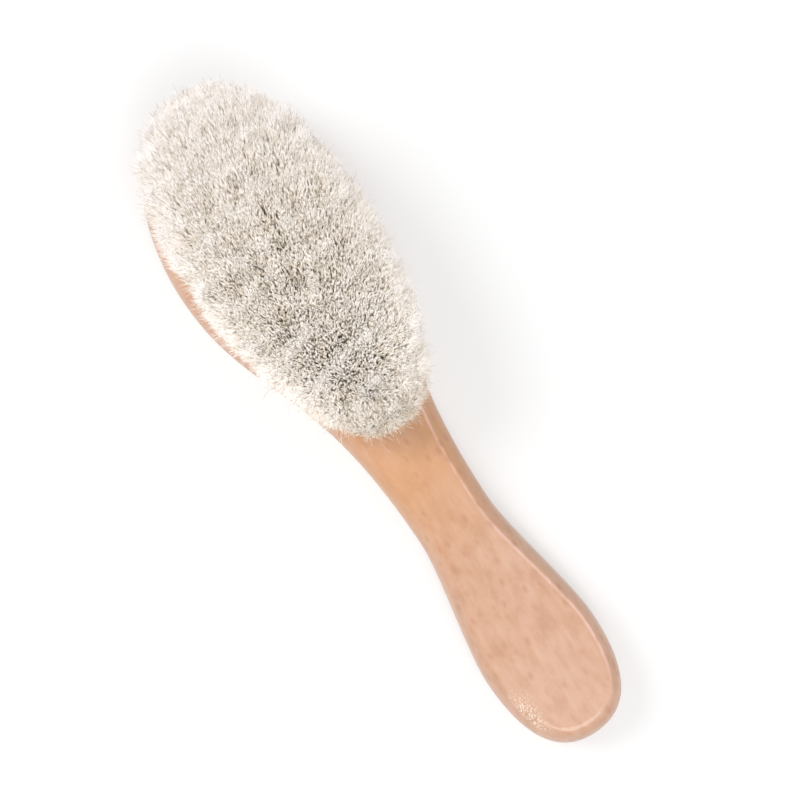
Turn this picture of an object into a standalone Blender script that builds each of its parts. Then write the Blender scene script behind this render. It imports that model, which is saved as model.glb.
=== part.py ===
"""Wool buffing brush: a one-piece beech body with tufts of soft wool set in its head.

The brush lies on its back with the tufts up. Lengths are in metres. The head points along +X
and the handle along -X. The origin is on the surface that the brush lies on, under its middle.
"""

import math

import bmesh
import bpy
from mathutils import Matrix, Vector

# The outline of the body, seen from above: lengths along X, then full widths
TIP_TO_WIDEST = 0.0397
WIDEST_TO_NECK = 0.0785
NECK_TO_GRIP = 0.0348
GRIP_TO_END = 0.0230
HEAD_WIDTH = 0.0487
NECK_WIDTH = 0.0189
GRIP_WIDTH = 0.0290

# How full each stretch of the outline is: the reach of its two curve handles
TIP_HANDLE_SHARES = (0.62, 0.47)
SHOULDER_HANDLE_SHARES = (0.37, 0.60)
WAIST_HANDLE_SHARES = (0.22, 0.23)
END_HANDLE_SHARES = (0.68, 0.66)
POINTS_PER_STRETCH = 26

# The body's cross-section: a flat face with a crisp edge, sloping sides and a rounded flat back
THICKNESS = 0.0125
WIDEST_HEIGHT = 0.0056
HEAD_SLOPE = 0.0036
NECK_SLOPE = 0.0037
GRIP_SLOPE = 0.0029
BACK_ROUNDING = 0.0042
SIDE_SWEEP = math.radians(62)
BACK_SWEEP = math.radians(82)
SIDE_STEPS = 6
BACK_STEPS = 7

# The arris of the face is softened a little, and more round the end of the handle
HEAD_ARRIS = 0.0004
NECK_ARRIS = 0.0004
GRIP_ARRIS = 0.0006
END_ARRIS = 0.0013
ARRIS_STEPS = 3

# Where the tufts stand on the face: columns across the head, from the handle to the tip, each
# with this many evenly spaced tufts
TUFTS_IN_COLUMN = (3, 3, 4, 5, 6, 6, 6, 6, 6, 5, 4, 3)
FIELD_WIDTH = 0.0300
FIELD_END_FROM_NECK = 0.0290
TIP_MARGIN = 0.0058
EDGE_MARGIN = 0.0025
FAN_OUT = 0.0034

# The drilled holes, and the root that each tuft fills its hole with
HOLE_DIAMETER = 0.0034
HOLE_DEPTH = 0.0056
ROOT_CLEARANCE = 0.0003
ROOT_STAND = 0.0005
ANCHOR_HEIGHT = 0.0012
ANCHOR_EDGE_SHARE = 0.45
CUTTER_OVERRUN = 0.0020

# The strands of a tuft: each lock of wool is a three-sided blade that swells and comes to a point
STRANDS_PER_TUFT = 8
BRISTLE_LENGTH = 0.0222
EDGE_DROP_SHARE = 0.07
STRAND_GAP = 0.00012
BELLY_HEIGHT_SHARE = 0.58
BELLY_REACH_SHARE = 0.66
BELLY_GIRTH_SHARES = (0.40, 0.30)
REACH_SHARES = (0.41, 0.20)
LENGTH_SCATTER_SHARE = 0.07
TWIST_SHARE = 0.618034

# Finish
SHARP_ANGLE = math.radians(35)
BEECH_COLOUR = (0.776, 0.484, 0.323)
BEECH_ROUGHNESS = 0.42
WOOL_COLOUR = (0.807, 0.745, 0.646)
WOOL_ROUGHNESS = 0.85


def clear_scene():
    for old in list(bpy.data.objects):
        bpy.data.objects.remove(old, do_unlink=True)


def principled(name, colour, roughness):
    material = bpy.data.materials.new(name)
    material.use_nodes = True
    shader = material.node_tree.nodes["Principled BSDF"]
    shader.inputs["Base Color"].default_value = (*colour, 1)
    shader.inputs["Roughness"].default_value = roughness
    shader.inputs["Metallic"].default_value = 0
    material.diffuse_color = (*colour, 1)
    return material


def add_object(name, bm, material):
    mesh = bpy.data.meshes.new(name)
    bmesh.ops.recalc_face_normals(bm, faces=bm.faces)
    bm.to_mesh(mesh)
    bm.free()
    if material:
        mesh.materials.append(material)
    made = bpy.data.objects.new(name, mesh)
    bpy.context.scene.collection.objects.link(made)
    return made


def cubic(start, leave, arrive, end, t):
    """A point of a Bezier stretch."""
    s = 1 - t
    return start * s**3 + leave * (3 * s * s * t) + arrive * (3 * s * t * t) + end * t**3


def ease(t):
    return t * t * (3 - 2 * t)


def stations():
    """The X of the head tip, the widest line of the head, the neck, the grip and the end."""
    length = TIP_TO_WIDEST + WIDEST_TO_NECK + NECK_TO_GRIP + GRIP_TO_END
    tip = length / 2
    widest = tip - TIP_TO_WIDEST
    neck = widest - WIDEST_TO_NECK
    grip = neck - NECK_TO_GRIP
    return tip, widest, neck, grip, -length / 2


def stretches():
    """The curved stretches of one half of the outline.

    Each has its four points, then the slope of the side and the softness of the arris at both ends.
    """
    tip, widest, neck, grip, end = stations()
    head_y, neck_y, grip_y = HEAD_WIDTH / 2, NECK_WIDTH / 2, GRIP_WIDTH / 2
    rise, run = TIP_HANDLE_SHARES
    yield (
        Vector((tip, 0)),
        Vector((tip, head_y * rise)),
        Vector((widest + TIP_TO_WIDEST * run, head_y)),
        Vector((widest, head_y)),
        (HEAD_SLOPE, HEAD_ARRIS),
        (HEAD_SLOPE, HEAD_ARRIS),
    )
    leave, arrive = SHOULDER_HANDLE_SHARES
    yield (
        Vector((widest, head_y)),
        Vector((widest - WIDEST_TO_NECK * leave, head_y)),
        Vector((neck + WIDEST_TO_NECK * arrive, neck_y)),
        Vector((neck, neck_y)),
        (HEAD_SLOPE, HEAD_ARRIS),
        (NECK_SLOPE, NECK_ARRIS),
    )
    leave, arrive = WAIST_HANDLE_SHARES
    yield (
        Vector((neck, neck_y)),
        Vector((neck - NECK_TO_GRIP * leave, neck_y)),
        Vector((grip + NECK_TO_GRIP * arrive, grip_y)),
        Vector((grip, grip_y)),
        (NECK_SLOPE, NECK_ARRIS),
        (GRIP_SLOPE, GRIP_ARRIS),
    )
    run, rise = END_HANDLE_SHARES
    yield (
        Vector((grip, grip_y)),
        Vector((grip - GRIP_TO_END * run, grip_y)),
        Vector((end, grip_y * rise)),
        Vector((end, 0)),
        (GRIP_SLOPE, GRIP_ARRIS),
        (GRIP_SLOPE, END_ARRIS),
    )


def half_outline():
    """Points from the tip to the end on the +Y side, each with its slope and softness."""
    points = []
    for start, leave, arrive, end, first, last in stretches():
        for step in range(POINTS_PER_STRETCH):
            t = step / POINTS_PER_STRETCH
            edge = tuple(near + (far - near) * ease(t) for near, far in zip(first, last))
            points.append((cubic(start, leave, arrive, end, t), edge))
    points.append((Vector((stations()[-1], 0)), (GRIP_SLOPE, END_ARRIS)))
    return points


def outline():
    """The whole outline as points, outward directions and edges, from the tip round by +Y."""
    half = half_outline()
    mirrored = [(Vector((p.x, -p.y)), edge) for p, edge in reversed(half[1:-1])]
    loop = half + mirrored
    places = [p for p, _ in loop]
    outward = []
    for index, _ in enumerate(places):
        along = places[(index + 1) % len(places)] - places[index - 1]
        outward.append(Vector((along.y, -along.x)).normalized())
    return places, outward, [edge for _, edge in loop]


def face_half_width(x):
    """Half the width of the flat face at x, read from straight lines between its points."""
    points = half_outline()
    for (near, near_edge), (far, far_edge) in zip(points, points[1:]):
        if far.x <= x <= near.x:
            share = (near.x - x) / (near.x - far.x)
            near_width = near.y - sum(near_edge)
            far_width = far.y - sum(far_edge)
            return near_width + (far_width - near_width) * share
    return 0


def side_point(share, slope):
    """Height and drawing-in at a share of the sweep of the sloping side."""
    angle = SIDE_SWEEP * share
    rise = (THICKNESS - WIDEST_HEIGHT) * math.sin(angle) / math.sin(SIDE_SWEEP)
    return WIDEST_HEIGHT + rise, slope * (1 - math.cos(angle)) / (1 - math.cos(SIDE_SWEEP))


def section(slope, softness):
    """Height and drawing-in of each level of the body at one place, from the back to the face."""
    levels = []
    for step in range(BACK_STEPS, 0, -1):
        angle = BACK_SWEEP * step / BACK_STEPS
        height = WIDEST_HEIGHT * (1 - math.sin(angle) / math.sin(BACK_SWEEP))
        share = (1 - math.cos(angle)) / (1 - math.cos(BACK_SWEEP))
        levels.append((height, BACK_ROUNDING * share))
    top = 1 - softness / (THICKNESS - WIDEST_HEIGHT)
    for step in range(SIDE_STEPS + 1):
        levels.append(side_point(top * step / SIDE_STEPS, slope))
    low_height, low_in = levels[-1]
    for step in range(1, ARRIS_STEPS + 1):
        t = step / ARRIS_STEPS
        below = (1 - t) ** 2
        height = low_height * below + THICKNESS * (1 - below)
        drawn_in = low_in * below + slope * (1 - below) + softness * t * t
        levels.append((height, drawn_in))
    return levels


def body_mesh():
    """The body as a stack of outlines, drawn in along their normals and skinned with quads."""
    places, outward, edges = outline()
    sections = [section(slope, softness) for slope, softness in edges]
    bm = bmesh.new()
    rings = []
    for levels in zip(*sections):
        ring = []
        for place, normal, (height, drawn_in) in zip(places, outward, levels):
            at = place - normal * drawn_in
            ring.append(bm.verts.new((at.x, at.y, height)))
        rings.append(ring)
    for low, high in zip(rings, rings[1:]):
        for index, _ in enumerate(low):
            bm.faces.new((low[index - 1], low[index], high[index], high[index - 1]))
    bm.faces.new(rings[0])
    bm.faces.new(rings[-1])
    return bm


def field():
    """The middle, the half length and the pitch of the columns of tufts, along X."""
    tip, _, neck, _, _ = stations()
    near, far = tip - HEAD_SLOPE - TIP_MARGIN, neck + FIELD_END_FROM_NECK
    return (near + far) / 2, (near - far) / 2, (near - far) / (len(TUFTS_IN_COLUMN) - 1)


def oval(x, fan_out):
    """Half the width at x of the oval that bounds the feet, or the points once fanned out."""
    middle, half, pitch = field()
    along = (x - middle) / (half + pitch / 2 + fan_out)
    return (FIELD_WIDTH / 2 + fan_out) * math.sqrt(1 - along * along)


def tuft_places():
    """For each tuft its foot, the place above it where it points, and its room.

    A foot keeps EDGE_MARGIN from the face's edge. It is carried to the same relative place in
    the wider oval of the points, so the pile fans out evenly.
    """
    middle, half, pitch = field()
    places = []
    for column, count in enumerate(TUFTS_IN_COLUMN):
        x = middle - half + pitch * column
        point_x = x + (x - middle) * FAN_OUT / half
        reach = min(oval(x, 0), face_half_width(x) - EDGE_MARGIN)
        room = min(pitch, 2 * reach / (count - 1))
        for number in range(count):
            across = 2 * number / (count - 1) - 1
            foot = Vector((x, across * reach, THICKNESS))
            point_y = across * oval(point_x, FAN_OUT)
            point = Vector((point_x, point_y, THICKNESS + BRISTLE_LENGTH))
            places.append((foot, point, room))
    return places


def tuft_frame(index, foot, point):
    """The matrix of a tuft and of its hole: at its foot, fanned outward, turned about itself."""
    lean = Vector((0, 0, 1)).rotation_difference(point - foot).to_matrix().to_4x4()
    turn = Matrix.Rotation(math.tau * (index * TWIST_SHARE % 1), 4, "Z")
    return Matrix.Translation(foot) @ lean @ turn


def edge_share(foot):
    """How near the edge of the pile a foot is: 0 in the middle, 1 at the edge."""
    middle, half, _ = field()
    along = (foot.x - middle) / half
    across = foot.y / (FIELD_WIDTH / 2)
    return min(along * along + across * across, 1)


def add_root(bm):
    """The root: a short prism that fills the hole and stands a little above the face."""
    radius = HOLE_DIAMETER / 2 - ROOT_CLEARANCE
    depth = HOLE_DEPTH - ROOT_CLEARANCE - ANCHOR_HEIGHT
    bmesh.ops.create_cone(
        bm,
        cap_ends=True,
        segments=STRANDS_PER_TUFT,
        radius1=radius,
        radius2=radius,
        depth=depth + ROOT_STAND,
        matrix=Matrix.Translation((0, 0, (ROOT_STAND - depth) / 2)),
    )


def add_anchor(bm):
    """The metal anchor under the fold of the wool: a blade drawn down from the root's end."""
    end = min(bm.faces, key=lambda face: face.calc_center_median().z)
    corners = list(end.verts)
    half = len(corners) // 2
    bmesh.ops.connect_verts(bm, verts=[corners[0], corners[half + 1]])
    bmesh.ops.connect_verts(bm, verts=[corners[1], corners[half]])
    strip = {corners[0], corners[1], corners[half], corners[half + 1]}
    blade = next(face for face in bm.faces if set(face.verts) == strip)
    across = (corners[0].co - corners[1].co).normalized()
    moved = bmesh.ops.extrude_discrete_faces(bm, faces=[blade])["faces"][0]
    for corner in moved.verts:
        thin = across * corner.co.dot(across) * (1 - ANCHOR_EDGE_SHARE)
        corner.co = corner.co - thin - Vector((0, 0, ANCHOR_HEIGHT))


def add_strands(bm, index, length, room):
    """Eight locks, each drawn out of its own sector of the root's top, so that none can cross."""
    root = HOLE_DIAMETER / 2 - ROOT_CLEARANCE
    top = max(bm.faces, key=lambda face: face.calc_center_median().z)
    sectors = bmesh.ops.poke(bm, faces=[top])["faces"]
    bmesh.ops.inset_individual(bm, faces=sectors, thickness=STRAND_GAP, use_even_offset=True)
    bellies = bmesh.ops.extrude_discrete_faces(bm, faces=sectors)["faces"]
    bellies.sort(key=lambda face: math.atan2(*face.calc_center_median().xy))
    for number, belly in enumerate(bellies):
        foot = belly.calc_center_median()
        outward = Vector((foot.x, foot.y, 0)).normalized()
        reach = room * REACH_SHARES[number % len(REACH_SHARES)]
        girth = room * BELLY_GIRTH_SHARES[number % len(BELLY_GIRTH_SHARES)] / root
        scatter = (number * STRANDS_PER_TUFT + index) * TWIST_SHARE % 1
        height = length * (1 - LENGTH_SCATTER_SHARE * scatter)
        start = foot.dot(outward)
        middle = outward * (start + (reach - start) * BELLY_REACH_SHARE)
        middle.z = height * BELLY_HEIGHT_SHARE
        for corner in belly.verts:
            corner.co = middle + (corner.co - foot) * girth
        point = bmesh.ops.poke(bm, faces=[belly])["verts"][0]
        point.co = outward * reach + Vector((0, 0, height))


def tuft(index, place, material):
    foot, point, room = place
    bm = bmesh.new()
    add_root(bm)
    add_anchor(bm)
    length = BRISTLE_LENGTH * (1 - EDGE_DROP_SHARE * edge_share(foot))
    add_strands(bm, index, length, room)
    made = add_object(f"tuft_{index + 1:02d}", bm, material)
    made.matrix_world = tuft_frame(index, foot, point)
    return made


def hole_cutter(places):
    """All the drilled holes as one hidden cutter."""
    bm = bmesh.new()
    for index, (foot, point, _) in enumerate(places):
        middle = Matrix.Translation((0, 0, (CUTTER_OVERRUN - HOLE_DEPTH) / 2))
        bmesh.ops.create_cone(
            bm,
            cap_ends=True,
            segments=STRANDS_PER_TUFT,
            radius1=HOLE_DIAMETER / 2,
            radius2=HOLE_DIAMETER / 2,
            depth=HOLE_DEPTH + CUTTER_OVERRUN,
            matrix=tuft_frame(index, foot, point) @ middle,
        )
    cutter = add_object("tuft_hole_cutter", bm, None)
    cutter.hide_render = True
    cutter.display_type = "WIRE"
    return cutter


def body(places, material):
    made = add_object("brush_body", body_mesh(), material)
    made.data.shade_smooth()
    made.data.set_sharp_from_angle(angle=SHARP_ANGLE)
    holes = made.modifiers.new("tuft holes", "BOOLEAN")
    holes.operation = "DIFFERENCE"
    holes.solver = "EXACT"
    holes.object = hole_cutter(places)
    return made


def main():
    clear_scene()
    beech = principled("lacquered beech", BEECH_COLOUR, BEECH_ROUGHNESS)
    wool = principled("cream wool", WOOL_COLOUR, WOOL_ROUGHNESS)
    places = tuft_places()
    brush = body(places, beech)
    for index, place in enumerate(places):
        tuft(index, place, wool).parent = brush
    print(len(places), "tufts,", len(places) * STRANDS_PER_TUFT, "strands")


main()
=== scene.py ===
"""The looks of the wool buffing brush: lacquered beech and a deep pile of fine cream wool.

Everything is in metres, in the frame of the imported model: the brush lies on its back on the
floor, its head along +X, its wool up. The body repeats the outline of the CAD body with a finer
mesh, and each tuft of wool grows out of the place and direction of its CAD tuft.
"""

import math

import bmesh
import bpy
import numpy as np
from mathutils import Matrix, Vector

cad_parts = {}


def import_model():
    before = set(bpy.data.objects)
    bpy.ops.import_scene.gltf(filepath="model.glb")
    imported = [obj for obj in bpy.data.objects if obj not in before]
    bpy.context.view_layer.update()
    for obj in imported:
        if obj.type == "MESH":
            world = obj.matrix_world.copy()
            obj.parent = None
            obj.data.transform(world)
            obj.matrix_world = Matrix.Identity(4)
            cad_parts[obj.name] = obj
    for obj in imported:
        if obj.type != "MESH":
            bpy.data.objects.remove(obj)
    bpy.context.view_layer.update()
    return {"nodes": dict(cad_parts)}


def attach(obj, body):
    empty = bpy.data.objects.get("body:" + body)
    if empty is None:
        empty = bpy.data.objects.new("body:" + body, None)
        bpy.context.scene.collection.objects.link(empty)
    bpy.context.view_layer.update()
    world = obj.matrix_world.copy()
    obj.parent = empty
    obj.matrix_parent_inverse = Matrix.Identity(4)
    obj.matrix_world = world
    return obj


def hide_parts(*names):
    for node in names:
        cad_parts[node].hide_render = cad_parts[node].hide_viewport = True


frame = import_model()

# The outline of the body, seen from above: lengths along X, then full widths
TIP_TO_WIDEST = 0.0397
WIDEST_TO_NECK = 0.0785
NECK_TO_GRIP = 0.0348
GRIP_TO_END = 0.0230
HEAD_WIDTH = 0.0487
NECK_WIDTH = 0.0189
GRIP_WIDTH = 0.0290

# How far the handles of the outline's curves reach, as shares of each stretch
TIP_HANDLE_SHARES = (0.62, 0.47)
SHOULDER_HANDLE_SHARES = (0.37, 0.60)
WAIST_HANDLE_SHARES = (0.22, 0.23)
END_HANDLE_SHARES = (0.68, 0.66)
POINTS_PER_STRETCH = 56

# The body's cross-section: a rounded back, sides that slope in, and a soft arris at the face
THICKNESS = 0.0125
WIDEST_HEIGHT = 0.0056
BACK_ROUNDING = 0.0042
BACK_SWEEP = math.radians(82)
BACK_STEPS = 12
HEAD_SLOPE = 0.0036
NECK_SLOPE = 0.0037
GRIP_SLOPE = 0.0029
SIDE_SWEEP = math.radians(62)
SIDE_STEPS = 10
HEAD_ARRIS = 0.0004
NECK_ARRIS = 0.0004
GRIP_ARRIS = 0.0006
END_ARRIS = 0.0013
ARRIS_STEPS = 6
FACE_MARGIN = 0.0002
SHARP_ANGLE = math.radians(40)

# The drilled holes
HOLE_RADIUS = 0.0017
HOLE_DEPTH = 0.0056
HOLE_SIDES = 24
HOLE_OVERRUN = 0.0020

# How fine the markings of the beech, and its painted glints, are along X, Y and Z, in noise cells to
# the metre
GRAIN_FINENESS = (60, 560, 560)
MOTTLE_FINENESS = (190, 340, 340)
CLOUD_FINENESS = (35, 60, 60)
FLECK_FINENESS = (230, 460, 460)
FLECK_PATCH_FINENESS = (110, 190, 190)
GLINT_FINENESS = (2400, 2400, 2400)
LACQUER_FINENESS = (1500, 1900, 1900)

# How strongly each of them shows
MOTTLE_SHARE = 0.48
GRAIN_SHARE = 0.3
FLECK_SHARE = 0.6
NECK_SHADE_SHARE = 0.6
ARRIS_HIGHLIGHT_SHARE = 0.9
GLINT_SHARE = 0.8
LACQUER_SHARE = 0.5
RELIEF_STRENGTH = 0.14
RELIEF_HEIGHT = 0.0001

# Where painted shade, with warm bounce light, darkens the beech along the neck under the wool, and
# where a painted highlight runs pale along the arris of the face
NECK_SHADE_SPAN = (-0.038, 0.010)
ARRIS_HIGHLIGHT_SPAN = (0.0121, 0.0125)
HIGHLIGHT_SIDE_SPAN = (0.000, -0.008)
HIGHLIGHT_END_SPAN = (-0.084, -0.072)

# Where pale specks of painted glint lie, the sparkle of light on the lacquer, at the lower corner of
# the bulb
GLINT_SPAN = (-0.068, -0.086)
GLINT_SIDE_SPAN = (0.0075, 0.0105)
GLINT_HEIGHTS = (0.0108, 0.0119)

# The oval of the pile, seen from above: wider toward the head's tip, slightly across the body
SEED = 7
PILE_MIDDLE_X = 0.0386
PILE_MIDDLE_Y = -0.0003
PILE_HALF_LENGTH = 0.0448
PILE_HALF_WIDTH = 0.0218
PILE_EGG = 0.10
PILE_SHEAR = 0.022
PILE_SQUARENESS = 2.3

# The wool gathers in small locks, which mix a little with those of the tufts beside them
LOCK_SPACING = 0.00038
SPACING_SCATTER = 0.28
HAIRS_PER_LOCK = 7
LOCK_JITTER = 0.00006
EDGE_JITTER = 0.00022
EDGE_POWER = 5
LOCK_MIXING = 0.0019
LOCK_LOOSENESS = 0.40
ROOT_RADIUS = 0.00150
ROOT_DEPTH = 0.0012
ROOT_JITTER = 0.00012

# How high the hairs reach: lower toward the rim of the pile, which starts sooner on one side, and
# toward the rim of each tuft, and lowest in the underfur
WOOL_LENGTH = 0.0222
RIM_SHIFT = 0.0012
PILE_DROP_SHARE = 0.26
PILE_DROP_POWER = 6
TUFT_DOME = 0.0010
DOME_LIMIT = 1.3
LENGTH_SCATTER = 0.0008
UNDERFUR_SHARE = 0.14
UNDERFUR_LENGTHS = (0.62, 0.95)

# How the tips are pushed aside: by soft ripples, by the parting and as loose hairs at the edge
DRIFT = 0.00045
RIPPLES = 14
RIPPLE_LENGTHS = (0.006, 0.013)
PARTING = ((0.030, 0.001), (0.055, -0.003))
PARTING_WIDTH = 0.0020
PARTING_PUSH = 0.0009
PARTING_FADE_RATE = 4
EDGE_FUZZ = 0.0005
FUZZ_POWER = 6
STRAY_SHARE = 0.006
STRAY_REACH = 0.0050
STRAY_POWER = 3

# The way of a hair from its root to its tip: it bends out, waves, curls and is combed over
HAIR_MARKS = (0, 0.40, 0.75, 0.92, 1)
EDGE_BEND = 0.85
CORE_BEND = 0.42
EDGE_REACHES = (0.62, 0.95)
HAIR_WAVE = 0.00019
HAIR_TURNS = (0.8, 2.0)
CURL_FROM = 0.84
CURL_POWER = 1.6
CURL_REACHES = (0.00022, 0.00034)
CALM_EDGE_SHARE = 0.75
COMB_REACH = 0.0013
COMB_SCATTER = (0.4, 1.2)
COMB_WAY = (0.83, -0.56)
COMB_SPAN = (0.040, 0.075)

# The hair itself
HAIR_SIDES = 3
HAIR_RADIUS = 0.000070
GIRTH_SCATTER = (0.75, 1.2)
FINE_EDGE_SHARE = 0.5
TIP_TAPER = 0.28
TAPER_POWER = 6

# How far the hairs' normals are their own, and how far the pile's normal leans out at its flank
OWN_NORMAL_SHARE = 0.5
FLANK_POWER = 4
FLANK_SHARE = 0.2

# How much weaker the painted shade in the depth of the wool is at the edge, less so where it meets
# the neck, and how much weaker in its middle near the neck
PALE_EDGE_SHARE = 0.55
PALE_EDGE_POWER = 4
NECK_END_SPAN = (-0.004, 0.012)
NECK_END_SHARE = 0.4
PALE_NECK_SHARE = 0.3
PALE_NECK_SPAN = (0.012, 0.036)

# How far the wool is bleached toward the head's tip
BLEACHED_SPAN = (0.030, 0.085)
BLEACHED_SHARE = 0.14

# How many of the hairs are dark: more toward the head's tip, fewer at the edge, and in clumps
MIXED_SPAN = (0.010, 0.070)
MIXED_SHARES = (0.75, 1.12)
CALM_EDGE_MIX = 0.4
CLUMP_SHARE = 0.12
CLUMP_FINENESS = 1.9
LEAST_MIXED = 0.1

# The camera, at the photograph's viewing angle. The picture is 800 pixels square.
PICTURE_SIDE = 800
FOCAL_PIXELS = 1739
SENSOR = 36
CAMERA_AIM = Vector((0.0002, -0.0050, 0.0060))
CAMERA_DISTANCE = 0.404
CAMERA_TILT = math.radians(4)
CAMERA_LEAN = math.radians(3)
CAMERA_ROLL = math.radians(33.8)

# Each lamp's place from the aim, in metres right, up and back as the camera sees it, then its
# size and power
LAMPS = {
    "key_light": ((-0.66, 0.22, 0.72), 0.5, 4.6),
    "fill_light": ((0.20, -0.36, 0.87), 0.45, 3.5),
    "arris_light": ((0.42, 0.28, 0.80), 0.25, 0.7),
}

# The light tent's brightness by height, from the horizon at 0 to overhead at 1
TENT_LEVELS = ((0.0, 0.42), (0.35, 0.42), (0.8, 0.50), (1.0, 0.55))

# The floor lies a hair below the brush. Its own white: from and to how far out it grows, and
# its shares there
FLOOR_SIZE = 6
FLOOR_GAP = 0.00005
FLOOR_FADE = (0.20, 0.80, 0.45, 1.0)

BLACK = (0, 0, 0)
WHITE = (1, 1, 1)

# The sockets of the Mix node that hold colours: it keeps a set for each type of value
MIX_FACTOR = 0
MIX_FIRST = 6
MIX_SECOND = 7
MIX_RESULT = 2


def cubic(start, leave, arrive, end, t):
    """A point of a Bezier stretch."""
    s = 1 - t
    return start * s**3 + leave * (3 * s * s * t) + arrive * (3 * s * t * t) + end * t**3


def ease(t):
    return t * t * (3 - 2 * t)


def stations():
    """The X of the head tip, the widest line of the head, the neck, the grip and the end."""
    length = TIP_TO_WIDEST + WIDEST_TO_NECK + NECK_TO_GRIP + GRIP_TO_END
    tip = length / 2
    widest = tip - TIP_TO_WIDEST
    neck = widest - WIDEST_TO_NECK
    grip = neck - NECK_TO_GRIP
    return tip, widest, neck, grip, -length / 2


def stretches():
    """The curved stretches of half the outline, with slope and arris softness at both ends."""
    tip, widest, neck, grip, end = stations()
    head_y, neck_y, grip_y = HEAD_WIDTH / 2, NECK_WIDTH / 2, GRIP_WIDTH / 2
    rise, run = TIP_HANDLE_SHARES
    yield (
        Vector((tip, 0)),
        Vector((tip, head_y * rise)),
        Vector((widest + TIP_TO_WIDEST * run, head_y)),
        Vector((widest, head_y)),
        (HEAD_SLOPE, HEAD_ARRIS),
        (HEAD_SLOPE, HEAD_ARRIS),
    )
    leave, arrive = SHOULDER_HANDLE_SHARES
    yield (
        Vector((widest, head_y)),
        Vector((widest - WIDEST_TO_NECK * leave, head_y)),
        Vector((neck + WIDEST_TO_NECK * arrive, neck_y)),
        Vector((neck, neck_y)),
        (HEAD_SLOPE, HEAD_ARRIS),
        (NECK_SLOPE, NECK_ARRIS),
    )
    leave, arrive = WAIST_HANDLE_SHARES
    yield (
        Vector((neck, neck_y)),
        Vector((neck - NECK_TO_GRIP * leave, neck_y)),
        Vector((grip + NECK_TO_GRIP * arrive, grip_y)),
        Vector((grip, grip_y)),
        (NECK_SLOPE, NECK_ARRIS),
        (GRIP_SLOPE, GRIP_ARRIS),
    )
    run, rise = END_HANDLE_SHARES
    yield (
        Vector((grip, grip_y)),
        Vector((grip - GRIP_TO_END * run, grip_y)),
        Vector((end, grip_y * rise)),
        Vector((end, 0)),
        (GRIP_SLOPE, GRIP_ARRIS),
        (GRIP_SLOPE, END_ARRIS),
    )


def outline():
    """The whole outline: places, outward directions, slopes and arris softness, as arrays."""
    half = []
    for start, leave, arrive, end, first, last in stretches():
        for step in range(POINTS_PER_STRETCH):
            t = step / POINTS_PER_STRETCH
            mix = [a + (b - a) * ease(t) for a, b in zip(first, last)]
            half.append((*cubic(start, leave, arrive, end, t), *mix))
    half.append((stations()[-1], 0, GRIP_SLOPE, END_ARRIS))
    mirrored = [(x, -y, slope, soft) for x, y, slope, soft in reversed(half[1:-1])]
    loop = np.array(half + mirrored)
    along = np.roll(loop[:, :2], -1, axis=0) - np.roll(loop[:, :2], 1, axis=0)
    outward = np.stack([along[:, 1], -along[:, 0]], axis=1)
    outward /= np.linalg.norm(outward, axis=1, keepdims=True)
    return loop[:, :2], outward, loop[:, 2:3], loop[:, 3:4]


def section(slope, soft):
    """The levels of the cross-section, from the back up to the face: height, and how far in."""
    for step in range(BACK_STEPS, 0, -1):
        angle = BACK_SWEEP * step / BACK_STEPS
        height = WIDEST_HEIGHT * (1 - math.sin(angle) / math.sin(BACK_SWEEP))
        inset = BACK_ROUNDING * (1 - math.cos(angle)) / (1 - math.cos(BACK_SWEEP))
        yield np.full_like(slope, height), np.full_like(slope, inset)
    rise = THICKNESS - WIDEST_HEIGHT
    arris_from = 1 - soft / rise

    def side(share):
        angle = SIDE_SWEEP * share
        height = WIDEST_HEIGHT + rise * np.sin(angle) / math.sin(SIDE_SWEEP)
        return height, slope * (1 - np.cos(angle)) / (1 - math.cos(SIDE_SWEEP))

    for step in range(SIDE_STEPS + 1):
        yield side(step / SIDE_STEPS * arris_from)
    low_height, low_inset = side(arris_from)
    for step in range(1, ARRIS_STEPS + 1):
        t = step / ARRIS_STEPS
        height = low_height * (1 - t) ** 2 + THICKNESS * (1 - (1 - t) ** 2)
        inset = low_inset * (1 - t) ** 2 + slope * 2 * t * (1 - t) + (slope + soft) * t * t
        yield height, inset
    yield np.full_like(slope, THICKNESS), slope + soft + FACE_MARGIN


def new_object(name, mesh, material):
    mesh.materials.append(material)
    made = bpy.data.objects.new(name, mesh)
    bpy.context.scene.collection.objects.link(made)
    return made


def tuft_names():
    return sorted(name for name in frame["nodes"] if name.startswith("tuft_"))


def tuft_axis(node):
    """The foot of a CAD tuft on the face, and its direction, read from its root."""
    points = np.array([v.co for v in frame["nodes"][node].data.vertices])
    heights = points[:, 2]
    bottom = points[heights < THICKNESS - HOLE_DEPTH / 2]
    top = points[(heights > THICKNESS - HOLE_DEPTH / 4) & (heights < THICKNESS + ROOT_RADIUS)]
    low = (bottom.min(0) + bottom.max(0)) / 2
    high = (top.min(0) + top.max(0)) / 2
    axis = (high - low) / np.linalg.norm(high - low)
    return low + axis * (THICKNESS - low[2]) / axis[2], axis


def body_mesh():
    places, outward, slope, soft = outline()
    rings = []
    for height, inset in section(slope, soft):
        rings.append(np.hstack([places - outward * inset, height]))
    count = len(places)
    quads = []
    for ring in range(len(rings) - 1):
        low = ring * count + np.arange(count)
        nxt = ring * count + (np.arange(count) + 1) % count
        quads.append(np.stack([low, nxt, nxt + count, low + count], axis=1))
    faces = np.vstack(quads).tolist()
    last = (len(rings) - 1) * count
    faces.append(list(range(last, last + count)))
    faces.append(list(range(count - 1, -1, -1)))
    mesh = bpy.data.meshes.new("beech_body")
    mesh.from_pydata(np.vstack(rings).tolist(), [], faces)
    return mesh


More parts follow.
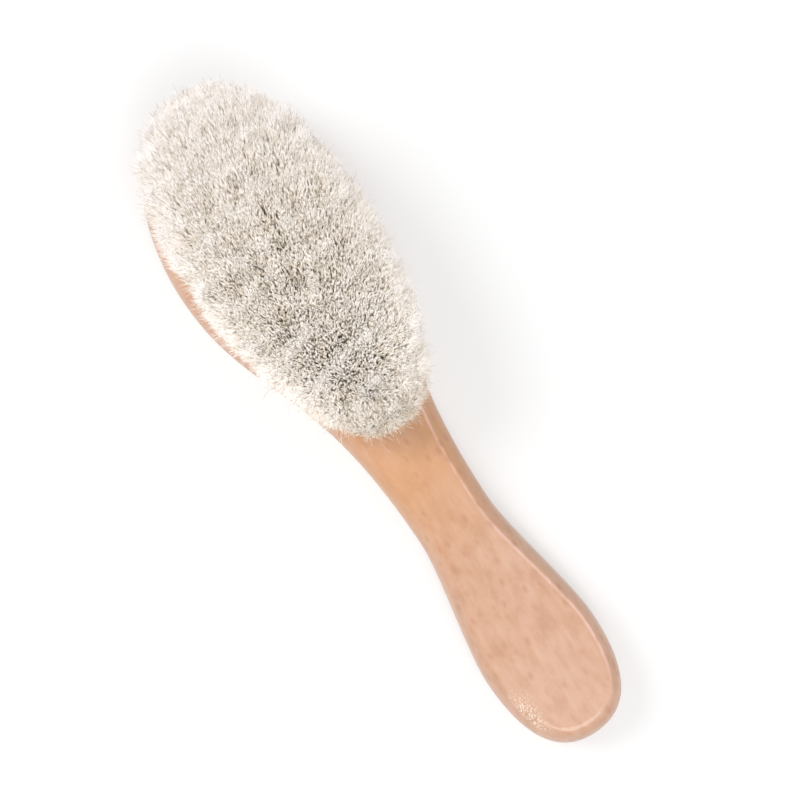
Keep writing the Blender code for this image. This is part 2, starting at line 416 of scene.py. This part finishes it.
def hole_cutter(tufts):
    bm = bmesh.new()
    for foot, axis in tufts:
        turn = Vector((0, 0, 1)).rotation_difference(Vector(axis)).to_matrix().to_4x4()
        middle = Matrix.Translation((0, 0, (HOLE_OVERRUN - HOLE_DEPTH) / 2))
        bmesh.ops.create_cone(
            bm,
            cap_ends=True,
            segments=HOLE_SIDES,
            radius1=HOLE_RADIUS,
            radius2=HOLE_RADIUS,
            depth=HOLE_DEPTH + HOLE_OVERRUN,
            matrix=Matrix.Translation(Vector(foot)) @ turn @ middle,
        )
    mesh = bpy.data.meshes.new("hole_cutter")
    bm.to_mesh(mesh)
    bm.free()
    cutter = bpy.data.objects.new("hole_cutter", mesh)
    bpy.context.scene.collection.objects.link(cutter)
    return cutter


def drill(made, cutter):
    """Cuts the holes for good, so the body's mesh holds them and the cutter can go."""
    holes = made.modifiers.new("holes", "BOOLEAN")
    holes.operation = "DIFFERENCE"
    holes.solver = "EXACT"
    holes.object = cutter
    evaluated = made.evaluated_get(bpy.context.evaluated_depsgraph_get())
    cut = bpy.data.meshes.new_from_object(evaluated)
    made.modifiers.clear()
    made.data = cut
    bpy.data.objects.remove(cutter, do_unlink=True)
    cut.shade_smooth()
    cut.set_sharp_from_angle(angle=SHARP_ANGLE)


def body(tufts):
    made = new_object("beech_body", body_mesh(), beech())
    drill(made, hole_cutter(tufts))
    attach(made, "root")
    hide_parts("brush_body")


class Nodes:
    """The nodes of a material or world, with short calls that add one and link it."""

    def __init__(self, owner):
        owner.use_nodes = True
        self.tree = owner.node_tree

    def add(self, kind, **settings):
        node = self.tree.nodes.new(kind)
        for key, value in settings.items():
            setattr(node, key, value)
        return node

    def own(self, name):
        """A node that is there from the start."""
        return self.tree.nodes[name]

    def link(self, source, target):
        self.tree.links.new(source, target)

    def feed(self, value, socket):
        """Sets a socket to a number or a colour, or links it to an output."""
        if isinstance(value, (int, float)):
            socket.default_value = value
        elif isinstance(value, tuple):
            socket.default_value = (*value, 1)
        else:
            self.link(value, socket)

    def place(self, axis, low, high):
        """How far each point lies from low to high along an axis of the model, as a share."""
        coordinates = self.add("ShaderNodeTexCoord")
        split = self.add("ShaderNodeSeparateXYZ")
        self.link(coordinates.outputs["Object"], split.inputs["Vector"])
        span = self.add("ShaderNodeMapRange")
        span.inputs["From Min"].default_value = low
        span.inputs["From Max"].default_value = high
        self.link(split.outputs[axis], span.inputs["Value"])
        return span.outputs["Result"]

    def texture(self, kind, fineness, output, **settings):
        """A texture over the model's own coordinates, with its fineness along X, Y and Z."""
        coordinates = self.add("ShaderNodeTexCoord")
        mapping = self.add("ShaderNodeMapping")
        mapping.inputs["Scale"].default_value = fineness
        self.link(coordinates.outputs["Object"], mapping.inputs["Vector"])
        node = self.add(kind)
        for socket, value in settings.items():
            node.inputs[socket].default_value = value
        node.inputs["Scale"].default_value = 1.0
        self.link(mapping.outputs["Vector"], node.inputs["Vector"])
        return node.outputs[output]

    def noise(self, fineness, detail, roughness):
        return self.texture(
            "ShaderNodeTexNoise", fineness, "Fac", Detail=detail, Roughness=roughness
        )

    def ramp(self, value, *stops):
        """A colour ramp: each stop is (place, colour)."""
        node = self.add("ShaderNodeValToRGB")
        elements = node.color_ramp.elements
        while len(elements) < len(stops):
            elements.new(0.5)
        for element, (place, colour) in zip(elements, stops):
            element.position = place
            element.color = (*colour, 1)
        self.link(value, node.inputs["Fac"])
        return node.outputs["Color"]

    def mix(self, factor, first, second, blend="MIX"):
        node = self.add("ShaderNodeMix", data_type="RGBA", blend_type=blend)
        self.feed(factor, node.inputs[MIX_FACTOR])
        self.feed(first, node.inputs[MIX_FIRST])
        self.feed(second, node.inputs[MIX_SECOND])
        return node.outputs[MIX_RESULT]

    def math(self, operation, first, second):
        node = self.add("ShaderNodeMath", operation=operation)
        self.feed(first, node.inputs[0])
        self.feed(second, node.inputs[1])
        return node.outputs["Value"]

    def product(self, first, *others):
        for other in others:
            first = self.math("MULTIPLY", first, other)
        return first

    def mix_shaders(self, factor, first, second):
        """Puts a mix of two shaders on the surface."""
        node = self.add("ShaderNodeMixShader")
        self.link(factor, node.inputs["Fac"])
        self.link(first, node.inputs[1])
        self.link(second, node.inputs[2])
        self.link(node.outputs["Shader"], self.own("Material Output").inputs["Surface"])

    def seen_share(self):
        """1 for what the camera sees straight, in a reflection or through something clear."""
        path = self.add("ShaderNodeLightPath")
        seen = path.outputs["Is Camera Ray"]
        for kind in ("Is Glossy Ray", "Is Transmission Ray"):
            seen = self.math("MAXIMUM", seen, path.outputs[kind])
        return seen


def srgb(red, green, blue):
    """A colour as read off a screen, from 0 to 255, as the linear values that a shader takes."""

    def linear(value):
        share = value / 255
        return share / 12.92 if share <= 0.04045 else ((share + 0.055) / 1.055) ** 2.4

    return tuple(linear(value) for value in (red, green, blue))


def painted_neck_shade(nodes):
    """Where shade from the wool is painted onto the beech, darker and warmer: most in the middle of
    the neck.
    """
    along = nodes.place("X", *NECK_SHADE_SPAN)
    shade_amount = nodes.ramp(along, (0.0, BLACK), (0.5, WHITE), (1.0, BLACK))
    return nodes.product(shade_amount, NECK_SHADE_SHARE)


def painted_arris_highlight(nodes, mottle):
    """Where a highlight is painted pale along the arris of the face: along one side only."""
    climb = nodes.place("Z", *ARRIS_HIGHLIGHT_SPAN)
    highlight_band = nodes.ramp(climb, (0.0, BLACK), (0.35, WHITE), (0.85, WHITE), (0.97, BLACK))
    side = nodes.place("Y", *HIGHLIGHT_SIDE_SPAN)
    return nodes.product(side, nodes.place("X", *HIGHLIGHT_END_SPAN), mottle, ARRIS_HIGHLIGHT_SHARE, highlight_band)


def painted_corner_glints(nodes):
    """Where pale specks of painted glint lie: the sparkle of light on the lacquer."""
    glint_noise = nodes.noise(GLINT_FINENESS, 2, 0.6)
    specks = nodes.ramp(glint_noise, (0.50, BLACK), (0.58, WHITE))
    along = nodes.place("X", *GLINT_SPAN)
    patch = nodes.ramp(along, (0.0, BLACK), (0.4, WHITE), (0.6, WHITE), (1.0, BLACK))
    side = nodes.place("Y", *GLINT_SIDE_SPAN)
    return nodes.product(patch, side, nodes.place("Z", *GLINT_HEIGHTS), specks, GLINT_SHARE)


def dark_flecks(nodes):
    """Where the short dark flecks of the beech lie: in loose patches."""
    cells = nodes.texture("ShaderNodeTexVoronoi", FLECK_FINENESS, "Distance")
    dash = nodes.ramp(cells, (0.08, WHITE), (0.36, BLACK))
    patches = nodes.noise(FLECK_PATCH_FINENESS, 2, 0.6)
    patch = nodes.ramp(patches, (0.44, BLACK), (0.56, WHITE))
    return nodes.product(dash, patch)


def beech():
    """Pinkish tan beech under a satin lacquer: faint grain, soft mottling and short dark flecks,
    with painted shade at the neck, a painted highlight along one arris and painted glints at the
    bulb's corner.
    """
    material = bpy.data.materials.new("lacquered_beech")
    nodes = Nodes(material)
    shader = nodes.own("Principled BSDF")
    grain = nodes.noise(GRAIN_FINENESS, 4, 0.6)
    mottle = nodes.noise(MOTTLE_FINENESS, 3, 0.6)
    cloud = nodes.noise(CLOUD_FINENESS, 2, 0.5)
    base = nodes.ramp(cloud, (0.35, srgb(203, 155, 121)), (0.65, srgb(208, 166, 141)))
    spots = nodes.ramp(
        mottle,
        (0.33, srgb(188, 139, 108)),
        (0.50, srgb(207, 163, 135)),
        (0.68, srgb(214, 175, 151)),
    )
    colour = nodes.mix(MOTTLE_SHARE, base, spots)
    lines = nodes.ramp(grain, (0.35, srgb(232, 214, 202)), (0.60, WHITE))
    colour = nodes.mix(GRAIN_SHARE, colour, lines, "MULTIPLY")
    # Painted shade: the neck darkened and warmed where the wool shades it
    colour = nodes.mix(painted_neck_shade(nodes), colour, srgb(208, 150, 98))
    # Painted highlight: a pale line along the arris of the face, on one side
    colour = nodes.mix(painted_arris_highlight(nodes, mottle), colour, srgb(250, 208, 198))
    # Painted glints: pale specks on the lacquer at the lower corner of the bulb
    colour = nodes.mix(painted_corner_glints(nodes), colour, srgb(252, 242, 230))
    fleck = dark_flecks(nodes)
    colour = nodes.mix(nodes.product(fleck, FLECK_SHARE), colour, srgb(184, 128, 98))
    nodes.link(colour, shader.inputs["Base Color"])
    gloss = nodes.ramp(mottle, (0.3, (0.36, 0.36, 0.36)), (0.7, (0.48, 0.48, 0.48)))
    nodes.link(gloss, shader.inputs["Roughness"])
    shader.inputs["Coat Weight"].default_value = 0.35
    shader.inputs["Coat Roughness"].default_value = 0.14
    ripple = nodes.product(nodes.noise(LACQUER_FINENESS, 2, 0.6), LACQUER_SHARE)
    pitted = nodes.math("ADD", grain, nodes.product(fleck, -FLECK_SHARE))
    relief = nodes.add("ShaderNodeBump")
    relief.inputs["Strength"].default_value = RELIEF_STRENGTH
    relief.inputs["Distance"].default_value = RELIEF_HEIGHT
    nodes.link(nodes.math("ADD", pitted, ripple), relief.inputs["Height"])
    nodes.link(relief.outputs["Normal"], shader.inputs["Normal"])
    nodes.link(relief.outputs["Normal"], shader.inputs["Coat Normal"])
    return material


def wool():
    """Cream wool, each hair with its own tint, with shade painted in: darker and greyer in the depth
    of the pile.

    The lamps shine through it, as they do through loose wool, so it throws no hard shadow.
    """
    material = bpy.data.materials.new("cream_wool")
    nodes = Nodes(material)
    shader = nodes.own("Principled BSDF")
    place = nodes.add("ShaderNodeUVMap", uv_map="OFBake")
    split = nodes.add("ShaderNodeSeparateXYZ")
    nodes.link(place.outputs["UV"], split.inputs["Vector"])
    # Painted shade: the colour darkens and greys with the depth of the pile, read from the UV's Y
    depth = nodes.ramp(
        split.outputs["Y"],
        (0.0, srgb(212, 194, 164)),
        (0.70, srgb(231, 220, 203)),
        (0.86, srgb(246, 240, 231)),
        (0.96, srgb(255, 254, 254)),
    )
    tint = nodes.ramp(
        split.outputs["X"],
        (0.0, srgb(112, 96, 70)),
        (0.20, srgb(188, 177, 152)),
        (0.36, srgb(249, 245, 239)),
        (1.0, srgb(255, 254, 255)),
    )
    colour = nodes.mix(1.0, depth, tint, "MULTIPLY")
    bleached = nodes.product(nodes.place("X", *BLEACHED_SPAN), BLEACHED_SHARE)
    colour = nodes.mix(bleached, colour, srgb(250, 242, 250))
    nodes.link(colour, shader.inputs["Base Color"])
    shader.inputs["Roughness"].default_value = 0.42
    path = nodes.add("ShaderNodeLightPath")
    passed = nodes.add("ShaderNodeBsdfTransparent")
    passed.inputs["Color"].default_value = (1, 1, 1, 1)
    nodes.mix_shaders(path.outputs["Is Shadow Ray"], shader.outputs["BSDF"], passed.outputs["BSDF"])
    return material


def waves(random, count, shortest, longest):
    """Random ripples over the face, as (wave vector, phase)."""
    lengths = random.uniform(shortest, longest, count)
    angles = random.uniform(0, math.tau, count)
    vectors = math.tau / lengths[:, None] * np.stack([np.cos(angles), np.sin(angles)], axis=1)
    return vectors, random.uniform(0, math.tau, count)


def drift(places, ripples):
    """How far the ripples push each place sideways, gathering the wool into soft clumps."""
    vectors, phases = ripples
    lengths = np.linalg.norm(vectors, axis=1)
    push = np.sin(places @ vectors.T + phases) @ (vectors / lengths[:, None])
    return push * DRIFT / math.sqrt(len(phases) / 2)


def clumps(places, ripples):
    """How dark the wool looks around each place: a soft, mottled field about zero."""
    vectors, phases = ripples
    field = np.sin(CLUMP_FINENESS * places @ vectors.T + phases).sum(axis=1)
    return field / math.sqrt(len(phases) / 2)


def parting(places):
    """How far the soft parting in the wool pushes each place aside."""
    start, end = np.array(PARTING)
    length = np.linalg.norm(end - start)
    along = (end - start) / length
    across = np.array([-along[1], along[0]])
    run, aside = (places - start) @ along, (places - start) @ across
    fade = np.clip(PARTING_FADE_RATE * np.minimum(run, length - run) / length, 0, 1)
    share = aside / PARTING_WIDTH
    push = PARTING_PUSH * share * np.exp(-(share**2)) * fade
    return push[:, None] * across


def frayed(locks, reach, ahead, random):
    """How far fuzz sticks out of the pile's edge, and a few stray hairs away from the head's tip."""
    count = len(locks)
    outward = locks - [PILE_MIDDLE_X, 0]
    outward /= np.linalg.norm(outward, axis=1, keepdims=True)
    fuzz = random.exponential(EDGE_FUZZ, count) * reach**FUZZ_POWER
    stray = (random.random(count) < STRAY_SHARE) * random.uniform(0, STRAY_REACH, count)
    stray *= reach**STRAY_POWER * (1 - ahead)
    return outward * (fuzz + stray)[:, None]


def pile_axis(x):
    """Where the middle of the pile runs: slightly across the body."""
    return PILE_MIDDLE_Y + PILE_SHEAR * (x - PILE_MIDDLE_X)


def pile_reach(places):
    """How far out each place lies in the pile: 0 in the middle, 1 on its edge."""
    along = (places[:, 0] - PILE_MIDDLE_X) / PILE_HALF_LENGTH
    width = PILE_HALF_WIDTH * (1 + PILE_EGG * along)
    across = (places[:, 1] - pile_axis(places[:, 0])) / width
    share = np.abs(np.stack([along, across], axis=1))
    return (share**PILE_SQUARENESS).sum(axis=1) ** (1 / PILE_SQUARENESS)


def lock_tips(random):
    """Where the tip of each lock lies, seen from above: on a loose triangular grid."""
    reach = PILE_HALF_WIDTH * (1 + PILE_EGG) + abs(PILE_SHEAR) * PILE_HALF_LENGTH
    across = np.arange(-reach, reach, LOCK_SPACING * math.sqrt(0.75))
    along = np.arange(-PILE_HALF_LENGTH, PILE_HALF_LENGTH, LOCK_SPACING) + PILE_MIDDLE_X
    x, y = np.meshgrid(along, across)
    x[::2] += LOCK_SPACING / 2
    places = np.stack([x.ravel(), y.ravel()], axis=1)
    places += random.normal(0, LOCK_SPACING * SPACING_SCATTER, places.shape)
    return places[pile_reach(places) < 1]


def per_lock(values):
    """One value for each lock, repeated for each of its hairs."""
    return np.repeat(values, HAIRS_PER_LOCK, axis=0)


def hair_tips(locks, reach, random):
    """Where each hair ends beside the tip of its lock, seen from above: looser at the edge."""
    jitter = LOCK_JITTER + (EDGE_JITTER - LOCK_JITTER) * reach**EDGE_POWER
    return locks + random.normal(0, 1, locks.shape) * jitter[:, None]


def hair_roots(offset, far, random):
    """Where each hair leaves its hole, from the hole's middle: on the side that its tip is on."""
    root = offset / np.maximum(far, 1)[:, None] * ROOT_RADIUS
    root += random.normal(0, ROOT_JITTER, root.shape)
    return root * np.minimum(1, ROOT_RADIUS / np.linalg.norm(root, axis=1))[:, None]


def hair_heights(top, far, random):
    """How high each hair reaches above the face, under the top of the pile."""
    count = len(top)
    height = top - TUFT_DOME * np.minimum(far, DOME_LIMIT) ** 2
    height -= np.abs(random.normal(0, LENGTH_SCATTER, count))
    short = random.random(count) < UNDERFUR_SHARE
    return height * np.where(short, random.uniform(*UNDERFUR_LENGTHS, count), 1)


def waved(count, reach, ahead, random):
    """How far the hairs of so many locks sway to each side at each mark, and curl at the tip."""
    steps = np.array(HAIR_MARKS)
    phase = per_lock(random.uniform(0, math.tau, (count, 1, 2)))
    phase += random.normal(0, LOCK_LOOSENESS, phase.shape)
    turns = per_lock(random.uniform(*HAIR_TURNS, (count, 1, 1)))
    sway = np.sin(math.tau * turns * steps[:, None] + phase) - np.sin(phase)
    bow = per_lock(random.normal(0, 1, (count, 1, 2)))
    bow += random.normal(0, LOCK_LOOSENESS, bow.shape)
    bow *= np.interp(ahead, (0, 1), CURL_REACHES)[:, None, None]
    curl = np.maximum(0, (steps - CURL_FROM) / (1 - CURL_FROM)) ** CURL_POWER
    calm = 1 - CALM_EDGE_SHARE * reach**2
    return sway * steps[:, None] * HAIR_WAVE + bow * (calm[:, None] * curl)[:, :, None]


def combed(reach, ahead, random):
    """How far each hair leans the way the wool is combed, at each mark."""
    push = ahead * COMB_REACH * (1 - reach**2) * random.uniform(*COMB_SCATTER, len(reach))
    return (push[:, None] * np.array(HAIR_MARKS) ** 2)[:, :, None] * np.array(COMB_WAY)


def hair_tones(locks, reach, rim, full, ripples):
    """How near the top of the pile each mark of a hair is, which sets its painted depth shade, and
    how likely the hair is dark.

    The second value is the power that a hair's random tint, from dark to pale, is raised to.
    """
    at_edge = np.interp(locks[:, 0], NECK_END_SPAN, (NECK_END_SHARE, 1))
    painted_shade_strength = 1 - PALE_EDGE_SHARE * at_edge * np.minimum(rim, 1) ** PALE_EDGE_POWER
    neck = np.interp(locks[:, 0], PALE_NECK_SPAN, (1, 0)) * (1 - reach**2)
    painted_shade_strength *= 1 - PALE_NECK_SHARE * neck
    # Painted depth shade: the lower a mark, the darker, weaker at the rim and near the neck
    depth = (1 - np.array(HAIR_MARKS) * full[:, None]) * painted_shade_strength[:, None]
    mixed = np.interp(locks[:, 0], MIXED_SPAN, MIXED_SHARES)
    mixed -= CALM_EDGE_MIX * at_edge * reach**EDGE_POWER
    mixed += CLUMP_SHARE * clumps(locks, ripples)
    return 1 - depth, np.maximum(mixed, LEAST_MIXED)


def grown_hairs(foot, centres, ripples, random):
    """The hairs of a tuft: the points along each, its tones (painted depth shade and darkness), and
    how far out in the pile it is.
    """
    locks = per_lock(centres)
    reach = pile_reach(locks)
    rim = pile_reach(locks + [0, RIM_SHIFT])
    ahead = np.clip((locks[:, 0] - COMB_SPAN[0]) / np.ptp(COMB_SPAN), 0, 1)
    offset = locks - centres.mean(axis=0)
    offset /= 2 * offset.std()
    far = np.linalg.norm(offset, axis=1)
    tip = hair_tips(locks, reach, random)
    start = hair_roots(offset, far, random) + foot[:2]
    tip += drift(locks, ripples) + parting(locks) + frayed(locks, reach, ahead, random)
    top = WOOL_LENGTH * (1 - PILE_DROP_SHARE * rim**PILE_DROP_POWER)
    height = hair_heights(top, far, random)
    steps = np.array(HAIR_MARKS)
    bend = np.interp(reach, EDGE_REACHES, (CORE_BEND, EDGE_BEND))[:, None, None]
    flat = start[:, None] + (tip - start)[:, None] * steps[:, None] ** bend
    flat += waved(len(centres), reach, ahead, random)
    flat += combed(reach, ahead, random)
    rise = THICKNESS - ROOT_DEPTH + (height[:, None] + ROOT_DEPTH) * steps
    points = np.concatenate([flat, rise[:, :, None]], axis=2)
    return points, *hair_tones(locks, reach, rim, height / top, ripples), reach


def hair_mesh(name, paths, painted_shade_levels, mixed, reach, random):
    """Each hair as a closed, three-sided tube that tapers to a point."""
    count = len(paths)
    rings = len(HAIR_MARKS) - 1
    along = np.gradient(paths, axis=1)
    along /= np.linalg.norm(along, axis=2, keepdims=True)
    side = np.cross(along, [1.0, 0.0, 0.0])
    side /= np.linalg.norm(side, axis=2, keepdims=True)
    other = np.cross(along, side)
    turn = random.uniform(0, math.tau, count)
    girth = HAIR_RADIUS * random.uniform(*GIRTH_SCATTER, count)
    girth *= 1 - FINE_EDGE_SHARE * reach**EDGE_POWER
    taper = 1 - TIP_TAPER * np.array(HAIR_MARKS[:-1]) ** TAPER_POWER
    points = np.empty((count, rings * HAIR_SIDES + 1, 3))
    for corner in range(HAIR_SIDES):
        angle = turn + math.tau * corner / HAIR_SIDES
        ring = (
            side[:, :rings] * np.cos(angle)[:, None, None]
            + other[:, :rings] * np.sin(angle)[:, None, None]
        )
        spread = ring * (girth[:, None] * taper[None, :])[:, :, None]
        points[:, corner : rings * HAIR_SIDES : HAIR_SIDES] = paths[:, :rings] + spread
    points[:, -1] = paths[:, -1]
    quads, ends = hair_faces(rings)
    each = rings * HAIR_SIDES + 1
    first = np.arange(count) * each
    quads = (quads[None] + first[:, None, None]).reshape(-1, 4)
    ends = (ends[None] + first[:, None, None]).reshape(-1, 3)
    mesh = bpy.data.meshes.new(name)
    fill_mesh(mesh, points.reshape(-1, 3), quads, ends)
    tints = np.repeat(random.random(count) ** mixed, each)
    painted_shade_levels = np.hstack([np.repeat(painted_shade_levels[:, :rings], HAIR_SIDES, axis=1), painted_shade_levels[:, -1:]])
    paint(mesh, tints, painted_shade_levels.ravel())
    soften(mesh, points.reshape(-1, 3))
    return mesh


def hair_faces(rings):
    """The faces of one hair: the quads of its sides, then the triangles at its ends."""
    quads = []
    for ring in range(rings - 1):
        for corner in range(HAIR_SIDES):
            low = ring * HAIR_SIDES + corner
            nxt = ring * HAIR_SIDES + (corner + 1) % HAIR_SIDES
            quads.append((low, nxt, nxt + HAIR_SIDES, low + HAIR_SIDES))
    last = (rings - 1) * HAIR_SIDES
    point = rings * HAIR_SIDES
    ends = [(2, 1, 0)]
    for corner in range(HAIR_SIDES):
        ends.append((last + corner, last + (corner + 1) % HAIR_SIDES, point))
    return np.array(quads), np.array(ends)


def fill_mesh(mesh, points, quads, triangles):
    mesh.vertices.add(len(points))
    mesh.vertices.foreach_set("co", points.astype(np.float32).ravel())
    corners = np.concatenate([quads.ravel(), triangles.ravel()])
    mesh.loops.add(len(corners))
    mesh.loops.foreach_set("vertex_index", corners.astype(np.int32))
    sizes = np.concatenate([np.full(len(quads), 4), np.full(len(triangles), 3)])
    starts = np.concatenate([[0], np.cumsum(sizes)[:-1]])
    mesh.polygons.add(len(sizes))
    mesh.polygons.foreach_set("loop_start", starts.astype(np.int32))
    mesh.update(calc_edges=True)
    mesh.shade_smooth()


def paint(mesh, tints, painted_shade_levels):
    """A UV map that holds each hair's tint and how near the top of the pile each point is, which
    sets its painted depth shade.
    """
    layer = mesh.uv_layers.new(name="OFBake")
    corners = np.empty(len(mesh.loops), np.int32)
    mesh.loops.foreach_get("vertex_index", corners)
    places = np.stack([tints[corners], painted_shade_levels[corners]], axis=1)
    layer.data.foreach_set("uv", places.astype(np.float32).ravel())


def soften(mesh, points):
    """Turns the hairs' normals toward those of the whole pile, so that it takes light as one."""
    own = np.empty(len(points) * 3, np.float32)
    mesh.vertex_normals.foreach_get("vector", own)
    outward = (points[:, :2] - [PILE_MIDDLE_X, 0]) / [PILE_HALF_LENGTH, PILE_HALF_WIDTH]
    outward *= FLANK_SHARE * (pile_reach(points[:, :2]) ** FLANK_POWER)[:, None]
    whole = np.concatenate([outward, np.ones((len(points), 1))], axis=1)
    whole /= np.linalg.norm(whole, axis=1, keepdims=True)
    mixed = own.reshape(-1, 3) * OWN_NORMAL_SHARE + whole * (1 - OWN_NORMAL_SHARE)
    mixed /= np.linalg.norm(mixed, axis=1, keepdims=True)
    mesh.normals_split_custom_set_from_vertices(mixed)


def tuft(node, hairs, material, random):
    name = node.replace("tuft", "wool")
    made = new_object(name, hair_mesh(name, *hairs, random), material)
    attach(made, "root")
    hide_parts(node)


def pile(names, tufts, random):
    """Every lock of the pile grows out of a tuft whose wool stands near."""
    targets = np.array([(foot + axis / axis[2] * WOOL_LENGTH)[:2] for foot, axis in tufts])
    ripples = waves(random, RIPPLES, *RIPPLE_LENGTHS)
    tips = lock_tips(random)
    near = tips + random.normal(0, LOCK_MIXING, tips.shape)
    owner = np.argmin(np.linalg.norm(near[:, None] - targets[None], axis=2), axis=1)
    material = wool()
    for index, node in enumerate(names):
        foot = tufts[index][0]
        hairs = grown_hairs(foot, tips[owner == index], ripples, random)
        tuft(node, hairs, material, random)


def camera():
    """Makes the camera, and says which ways are right, up and back in its picture."""
    back = Vector((
        -math.sin(CAMERA_TILT) * math.cos(CAMERA_LEAN),
        math.sin(CAMERA_LEAN),
        math.cos(CAMERA_TILT) * math.cos(CAMERA_LEAN),
    ))
    brush_up = (Vector((1, 0, 0)) - back * back.x).normalized()
    brush_right = brush_up.cross(back)
    cos_roll, sin_roll = math.cos(CAMERA_ROLL), math.sin(CAMERA_ROLL)
    right = brush_right * cos_roll - brush_up * sin_roll
    up = brush_right * sin_roll + brush_up * cos_roll
    data = bpy.data.cameras.new("camera")
    data.sensor_width = SENSOR
    data.lens = SENSOR * FOCAL_PIXELS / PICTURE_SIDE
    made = bpy.data.objects.new("camera", data)
    place = CAMERA_AIM + back * CAMERA_DISTANCE
    made.matrix_world = Matrix.Translation(place) @ Matrix((right, up, back)).transposed().to_4x4()
    bpy.context.scene.collection.objects.link(made)
    bpy.context.scene.camera = made
    return right, up, back


def floor():
    """A pale floor that fades into pure white away from the brush, and keeps its shadow."""
    material = bpy.data.materials.new("pale_floor")
    nodes = Nodes(material)
    shader = nodes.own("Principled BSDF")
    shader.inputs["Base Color"].default_value = (0.93, 0.93, 0.93, 1)
    shader.inputs["Roughness"].default_value = 0.9
    shader.inputs["Specular IOR Level"].default_value = 0.0
    glow = nodes.add("ShaderNodeEmission")
    glow.inputs["Strength"].default_value = 1.0
    coordinates = nodes.add("ShaderNodeTexCoord")
    away = nodes.add("ShaderNodeVectorMath", operation="LENGTH")
    nodes.link(coordinates.outputs["Object"], away.inputs[0])
    fade = nodes.add("ShaderNodeMapRange")
    for socket, value in zip(("From Min", "From Max", "To Min", "To Max"), FLOOR_FADE):
        fade.inputs[socket].default_value = value
    nodes.link(away.outputs["Value"], fade.inputs["Value"])
    share = nodes.product(nodes.seen_share(), fade.outputs["Result"])
    nodes.mix_shaders(share, shader.outputs["BSDF"], glow.outputs["Emission"])
    bpy.ops.mesh.primitive_plane_add(size=FLOOR_SIZE, location=(0, 0, -FLOOR_GAP))
    made = bpy.context.object
    made.name = "floor"
    made.data.materials.append(material)


def world():
    """A pale studio tent, a little brighter overhead than at the horizon, seen as plain white."""
    made = bpy.data.worlds.new("studio")
    nodes = Nodes(made)
    coordinates = nodes.add("ShaderNodeTexCoord")
    split = nodes.add("ShaderNodeSeparateXYZ")
    nodes.link(coordinates.outputs["Generated"], split.inputs["Vector"])
    stops = [(height, (level, level, level)) for height, level in TENT_LEVELS]
    tent = nodes.ramp(split.outputs["Z"], *stops)
    shown = nodes.mix(nodes.seen_share(), tent, WHITE)
    nodes.link(shown, nodes.own("Background").inputs["Color"])
    bpy.context.scene.world = made


def softbox(name, offset, size, power, right, up, back):
    place = CAMERA_AIM + right * offset[0] + up * offset[1] + back * offset[2]
    data = bpy.data.lights.new(name, "AREA")
    data.shape = "DISK"
    data.size = size
    data.energy = power
    made = bpy.data.objects.new(name, data)
    made.location = place
    made.rotation_mode = "QUATERNION"
    made.rotation_quaternion = (CAMERA_AIM - place).to_track_quat("-Z", "Y")
    bpy.context.scene.collection.objects.link(made)


def main():
    random = np.random.default_rng(SEED)
    axes = camera()
    names = tuft_names()
    tufts = [tuft_axis(node) for node in names]
    body(tufts)
    pile(names, tufts, random)
    floor()
    world()
    for name, (offset, size, power) in LAMPS.items():
        softbox(name, offset, size, power, *axes)


main()
bpy.context.scene.view_settings.view_transform = "Standard"
